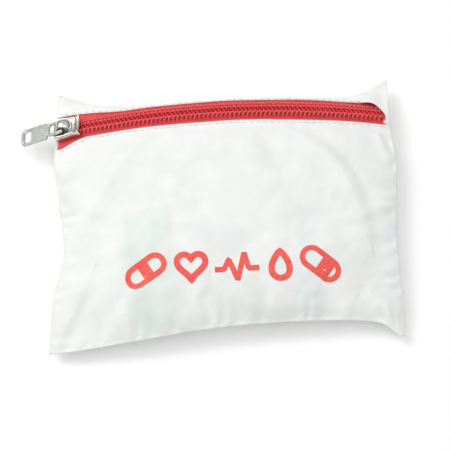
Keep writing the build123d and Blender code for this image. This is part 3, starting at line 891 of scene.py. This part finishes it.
# Round the upper wing's section: share of the half width, height, and how much of a station's lift it takes
UPPER_WING = [(-1, -0.35, 0), (-1, 1.2, 0), (-0.99, 2.2, 0.5), (-0.93, 2.85, 1), (-0.84, 2.9, 1),
              (-0.77, 2.45, 1), (-0.5, 2.3, 1), (0.5, 2.3, 1), (0.77, 2.45, 1), (0.84, 2.9, 1),
              (0.93, 2.85, 1), (0.99, 2.2, 0.5), (1, 1.2, 0), (1, -0.35, 0), (0.84, -0.35, 0),
              (0.8, 1.4, 0), (-0.8, 1.4, 0), (-0.84, -0.35, 0)]
UPPER_STATIONS = [(-6.5, 3.9, -0.5), (-6.3, 4.4, -0.1), (-5.4, 5.3, 0), (-3.2, 5.6, 0), (-0.8, 5.35, 0),
                  (1.6, 4.95, 0), (3.6, 4.8, 0), (4.6, 4.8, 0), (5.0, 4.8, 0.55), (5.3, 4.8, 0.75),
                  (6.2, 4.85, 0.75), (6.5, 4.85, 0.4)]
LOWER_WING = [(-1, -2.75, 0), (-1, -2.1, 0), (-0.9, -1.95, 0), (0.9, -1.95, 0), (1, -2.1, 0), (1, -2.75, 0),
              (0.9, -2.9, 0), (-0.9, -2.9, 0)]
LOWER_STATIONS = [(-4.2, 4.0, 0), (-3.8, 4.5, 0), (0, 4.6, 0), (5.4, 4.4, 0), (5.9, 4.0, 0)]
POST_SECTION = [(-1, -2.1, 0), (-1, 1.6, 0), (1, 1.6, 0), (1, -2.1, 0)]
POST_STATIONS = [(-5.4, 0.6, 0), (-4.8, 1.1, 0), (-3.8, 1.35, 0), (-2.6, 0.95, 0), (-1.5, 0.35, 0)]
# The crown's line, an arch over the pull's bar: x, height, half width
CROWN_LINE = [(-4.35, 2.1, 2.3), (-4.25, 3.4, 2.15), (-3.9, 4.6, 2.0), (-3.0, 5.3, 2.0), (-1.4, 5.45, 2.1),
              (0.2, 5.15, 2.25), (1.4, 4.4, 2.4), (2.1, 3.3, 2.6), (2.3, 2.1, 2.8)]
CROWN_SECTION = [(-1, -0.42), (-1, 0.1), (-0.72, 0.5), (0, 0.62), (0.72, 0.5), (1, 0.1), (1, -0.42),
                 (0, -0.5)]


def crown_mesh():
    line = np.array([(x, 0, z) for x, z, half in CROWN_LINE], float)
    tangent = np.gradient(line, axis=0)
    tangent /= np.linalg.norm(tangent, axis=1)[:, None]
    normal = np.stack([-tangent[:, 2], np.zeros(len(line)), tangent[:, 0]], 1)
    points = []
    for i, (_, _, half) in enumerate(CROWN_LINE):
        for y, depth in CROWN_SECTION:
            points.append(line[i] + normal[i] * depth + np.array([0, y * half, 0]))
    return np.array(points), loft_faces(len(CROWN_LINE), len(CROWN_SECTION))


def metal_piece(name, shape, material, slot, body, matrix):
    points, faces = shape
    placed = [matrix @ Vector(point * MM) for point in points]
    piece = mesh_piece(name, np.array([list(point) for point in placed]) / MM, faces, material, slot)
    smooth = piece.modifiers.new("smooth", "SUBSURF")
    smooth.levels = 2
    smooth.render_levels = 2
    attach(piece, body)
    return piece


def pull_outlines():
    """The tab's outer outline, its slot and its eye, in (x, y) with the bar at the origin."""
    plate = rounded_outline(7.1, 4.5, 1.9) - np.array([13.4, 0])
    by_the_neck = plate[:, 0] > -8
    plate[by_the_neck, 0] = -7.2
    plate[by_the_neck, 1] = np.clip(plate[by_the_neck, 1], -3.9, 3.9)
    neck = np.array([(-6.3, 3.5), (0.2, 3.4), (0.75, 2.9), (0.75, -2.9), (0.2, -3.4), (-6.3, -3.5)])
    outer = np.concatenate([neck[::-1], plate[plate[:, 1] > 0], plate[plate[:, 1] <= 0]])
    slot_hole = rounded_outline(1.8, 3.15, 1.2) - np.array([17.2, 0])
    eye = rounded_outline(2.55, 2.3, 0.9) - np.array([3.35, 0])
    return outer, slot_hole, eye


def pull_matrix():
    """From the tab's own frame, with the bar at the origin, to the row frame."""
    droop = Matrix.Rotation(math.radians(-PULL_DROOP), 4, "Y")
    return bar_matrix() @ droop @ Matrix.Rotation(math.radians(PULL_SKEW), 4, "Z")


def bar_matrix():
    return slider_frame() @ Matrix.Translation(Vector(PULL_BAR) * MM)


def pull_plate():
    """The tab: its outlines filled, thickened and rounded at the edges."""
    curve = bpy.data.curves.new("pull outline", "CURVE")
    curve.dimensions = "2D"
    curve.fill_mode = "BOTH"
    curve.extrude = PLATE_HALF_FLAT * MM
    curve.bevel_depth = PLATE_ROUNDING * MM
    curve.bevel_resolution = 3
    curve.offset = -PLATE_ROUNDING * MM
    for outline in pull_outlines():
        spline = curve.splines.new("POLY")
        spline.points.add(len(outline) - 1)
        for point, (x, y) in zip(spline.points, outline):
            point.co = (x * MM, y * MM, 0, 1)
        spline.use_cyclic_u = True
    maker = bpy.data.objects.new("pull outline", curve)
    bpy.context.scene.collection.objects.link(maker)
    bpy.context.view_layer.update()
    mesh = bpy.data.meshes.new_from_object(maker.evaluated_get(bpy.context.evaluated_depsgraph_get()))
    bpy.data.objects.remove(maker)
    mesh.transform(pull_matrix())
    mesh.name = "pull_plate"
    keep_rest_places(mesh)
    mesh.materials.clear()
    mesh.materials.append(satin_nickel)
    piece = bpy.data.objects.new("pull_plate", mesh)
    bpy.context.scene.collection.objects.link(piece)
    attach(piece, "pull")
    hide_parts("pull_tab")


def rounded_outline(half_x, half_y, radius):
    """Points round a rectangle with rounded corners, about the origin."""
    points = []
    for quarter, (sx, sy) in enumerate([(1, 1), (-1, 1), (-1, -1), (1, -1)]):
        for angle in np.linspace(quarter * 90, quarter * 90 + 90, 9):
            a = math.radians(angle)
            points.append((sx * (half_x - radius) + radius * math.cos(a),
                           sy * (half_y - radius) + radius * math.sin(a)))
    return np.array(points)


casting_mesh = joined([lofted(UPPER_STATIONS, UPPER_WING), lofted(LOWER_STATIONS, LOWER_WING),
                       lofted(POST_STATIONS, POST_SECTION)])
casting = metal_piece("slider_casting", casting_mesh, nickel, "nickel", "slider", slider_frame())
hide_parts("slider_body")
crown = metal_piece("slider_bridge", crown_mesh(), nickel, "nickel", "slider", slider_frame())
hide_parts("slider_crown")
pull_plate()
bar_path = np.array([(0, y, 0) for y in np.linspace(-BAR_HALF, BAR_HALF, 9)])
bar_mesh = tube(bar_path, np.full(len(bar_path), BAR_RADIUS), 16)
metal_piece("pull_bar", bar_mesh, satin_nickel, "satin_nickel", "pull", bar_matrix())
tip_path = np.array([(-20.1 + 0.12 * y * y / 4, y, 0) for y in np.linspace(-TIP_HALF, TIP_HALF, 13)])
tip_mesh = tube(tip_path, TIP_RADIUS * np.sqrt(1.02 - (tip_path[:, 1] / TIP_HALF) ** 6), 16)
metal_piece("pull_tip", tip_mesh, satin_nickel, "satin_nickel", "pull", pull_matrix())


# ---------------------------------------------------------------- printed pictograms

PRINT_LIFT = 0.06
PATCH_LIFT = np.array([0, 0, 0.05])  # keeps a solid part from sharing a surface with its outline
PRINT_STROKE = 2.7
PRINT_MIDDLE_Y = -31.4
PRINT_HEIGHT = 14.0


def on_cloth(x, y):
    return np.stack([x, y, front_height(x, y) + PRINT_LIFT], -1)


def printed_stroke(path, closed, width=PRINT_STROKE):
    """A stroke of even width along a path of (x, y), laid on the cloth."""
    path = np.asarray(path, float)
    if closed:
        path = np.vstack([path, path[:1]])
    lengths = np.concatenate([[0], np.cumsum(np.linalg.norm(np.diff(path, axis=0), axis=1))])
    places = np.linspace(0, lengths[-1], max(int(lengths[-1] / 0.6), 4))
    x = np.interp(places, lengths, path[:, 0])
    y = np.interp(places, lengths, path[:, 1])
    if closed:
        dx = np.gradient(np.concatenate([x[-3:-1], x, x[1:3]]))[2:-2]
        dy = np.gradient(np.concatenate([y[-3:-1], y, y[1:3]]))[2:-2]
    else:
        dx = np.gradient(x)
        dy = np.gradient(y)
    length = np.hypot(dx, dy)
    offsets = np.linspace(-width / 2, width / 2, 6)[:, None]
    points = on_cloth(x + offsets * -dy / length, y + offsets * dx / length)
    return points[::-1].reshape(-1, 3), grid_faces(6, len(x))


def printed_patch(cx, cy, half_x, half_y, turn=0.0):
    a, b = np.meshgrid(np.linspace(-half_x, half_x, 12), np.linspace(-half_y, half_y, 12))
    x = cx + a * math.cos(turn) - b * math.sin(turn)
    y = cy + a * math.sin(turn) + b * math.cos(turn)
    return (on_cloth(x, y) + PATCH_LIFT).reshape(-1, 3), grid_faces(12, 12)


def turned(points, degrees, cx, cy):
    a = math.radians(degrees)
    return np.array([(cx + p[0] * math.cos(a) - p[1] * math.sin(a),
                      cy + p[0] * math.sin(a) + p[1] * math.cos(a)) for p in points])


def plaster_sign(cx, cy):
    outline = turned(rounded_outline(8.6, 3.9, 3.8), 32, cx, cy)
    return [printed_stroke(outline, True, 2.4), printed_patch(cx, cy, 2.4, 2.69, math.radians(32))]


def heart_sign(cx, cy):
    t = np.linspace(0, 2 * math.pi, 90, endpoint=False)
    x = 16 * np.sin(t) ** 3
    y = 13 * np.cos(t) - 5 * np.cos(2 * t) - 2 * np.cos(3 * t) - np.cos(4 * t)
    size = (PRINT_HEIGHT - PRINT_STROKE) / 29.0
    return [printed_stroke(np.stack([cx + x * size * 0.98, cy + 1.4 + y * size], 1), True)]


def pulse_sign(cx, cy):
    path = [(-9.5, -1), (-5.5, -1), (-3.4, 3.2), (0.2, -5.6), (3.2, 5.6), (5.0, -1), (9.5, -1)]
    return [printed_stroke([(cx + x, cy + y) for x, y in path], False, 2.3)]


def drop_sign(cx, cy):
    t = np.linspace(0, 2 * math.pi, 70, endpoint=False)
    x = 4.9 * np.sin(t) * np.sin(t / 2) ** 0.9
    y = 5.7 * np.cos(t)
    return [printed_stroke(np.stack([cx + x, cy + y], 1), True)]


def capsule_sign(cx, cy):
    outline = turned(rounded_outline(8.4, 4.0, 3.9), -38, cx, cy)
    filled = turned([(2.6, 0)], -38, cx, cy)[0]
    return [printed_stroke(outline, True, 2.4),
            printed_patch(filled[0], filled[1], 3.0, 2.79, math.radians(-38))]


SIGNS = [(plaster_sign, -34.0), (heart_sign, -14.5), (pulse_sign, 5.0), (drop_sign, 23.5),
         (capsule_sign, 40.5)]
signs = []
for sign, sign_x in SIGNS:
    signs += sign(sign_x, PRINT_MIDDLE_Y)
printed_signs = mesh_piece("printed_signs", *joined(signs), ink, "red_tape")
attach(printed_signs, "pouch")


# ---------------------------------------------------------------- carried-over CAD pieces

CAD_FINISHES = [
    (white_cloth, ["front_panel", "back_panel", "top_strip", "left_corner_ear", "right_corner_ear",
                   "left_side_seam", "right_side_seam"]),
    (white_thread, ["left_seam_stitching", "right_seam_stitching", "lower_topstitching",
                    "upper_topstitching"]),
    (red_tape, ["lower_zipper_tape", "upper_zipper_tape"]),
    (red_coil, ["lower_coil", "upper_coil"]),
    (red_thread, ["lower_coil_cord", "upper_coil_cord", "lower_coil_stitching", "upper_coil_stitching"]),
    (nickel, ["slider_body", "slider_crown"]),
    (satin_nickel, ["pull_tab"]),
    (packet_paper, ["gauze_pads"]),
    (green_packet, ["plaster_strips"]),
    (blue_packet, ["antiseptic_wipes"]),
    (white_tape, ["tape_roll"]),
    (tape_core, ["tape_core"]),
    (bandage, ["bandage_roll"]),
    (blue_vinyl, ["glove_packet"]),
]
for finish, node_names in CAD_FINISHES:
    for node_name in node_names:
        node_mesh = nodes[node_name].data
        keep_rest_places(node_mesh)
        node_mesh.materials.clear()
        node_mesh.materials.append(finish)


# ---------------------------------------------------------------- floor, light and camera

def stage_floor():
    """A pale floor, a tenth of a millimetre under the pouch."""
    size = 3.0
    corners = [(-size, -size, 0), (size, -size, 0), (size, size, 0), (-size, size, 0)]
    mesh = bpy.data.meshes.new("floor")
    mesh.from_pydata(corners, [], [(0, 1, 2, 3)])
    floor = bpy.data.objects.new("floor", mesh)
    bpy.context.scene.collection.objects.link(floor)
    white = bpy.data.materials.new("floor")
    white.use_nodes = True
    shader = white.node_tree.nodes["Principled BSDF"]
    shader.inputs["Base Color"].default_value = (0.985, 0.985, 0.985, 1)
    shader.inputs["Roughness"].default_value = 0.9
    shader.inputs["Specular IOR Level"].default_value = 0.1
    mesh.materials.append(white)
    floor.location.z = -0.0001


def area_light(name, place, size, power):
    """A square light at a place in metres, facing the pouch."""
    data = bpy.data.lights.new(name, "AREA")
    data.size = size
    data.energy = power
    light = bpy.data.objects.new(name, data)
    light.location = place
    light.rotation_euler = (Vector((0, 0, 0)) - Vector(place)).to_track_quat("-Z", "Y").to_euler()
    bpy.context.scene.collection.objects.link(light)


def studio_camera():
    """The camera, at the photograph's angle."""
    azimuth, elevation, roll = (math.radians(a) for a in (6.0, 68.0, -8.4))
    target = Vector((0, -0.0075, 0.008))
    back = Vector((math.sin(azimuth) * math.cos(elevation), -math.cos(azimuth) * math.cos(elevation),
                   math.sin(elevation)))
    right = (-back).cross(Vector((0, 0, 1))).normalized()
    up = right.cross(-back)
    level_right = right * math.cos(roll) + up * math.sin(roll)
    level_up = up * math.cos(roll) - right * math.sin(roll)
    data = bpy.data.cameras.new("camera")
    data.lens = 82.72
    data.sensor_width = 36
    data.clip_start = 0.02
    camera = bpy.data.objects.new("camera", data)
    turn = Matrix((level_right, level_up, back)).transposed()
    distance = 0.46
    camera.matrix_world = Matrix.Translation(target + back * distance) @ turn.to_4x4()
    bpy.context.scene.collection.objects.link(camera)
    bpy.context.scene.camera = camera


def studio_world():
    """White from above and darker near the horizon, which gives the metal something to reflect."""
    world = bpy.data.worlds.new("studio")
    bpy.context.scene.world = world
    world.use_nodes = True
    studio = world.node_tree
    direction = studio.nodes.new("ShaderNodeTexCoord")
    split = studio.nodes.new("ShaderNodeSeparateXYZ")
    shade = studio.nodes.new("ShaderNodeValToRGB")
    shade.color_ramp.elements[0].color = (0.22, 0.23, 0.23, 1)
    shade.color_ramp.elements[0].position = 0.18
    shade.color_ramp.elements[1].color = (1, 1, 1, 1)
    shade.color_ramp.elements[1].position = 0.62
    studio.links.new(direction.outputs["Generated"], split.inputs[0])
    studio.links.new(split.outputs["Z"], shade.inputs["Fac"])
    studio.links.new(shade.outputs["Color"], studio.nodes["Background"].inputs["Color"])
    studio.nodes["Background"].inputs["Strength"].default_value = 0.68


stage_floor()
area_light("key", (-1.1, 0.8, 1.5), 0.9, 13.5)
area_light("top", (0.0, 0.0, 2.0), 2.2, 12.5)
studio_world()
bpy.context.scene.view_settings.view_transform = "Standard"
studio_camera()
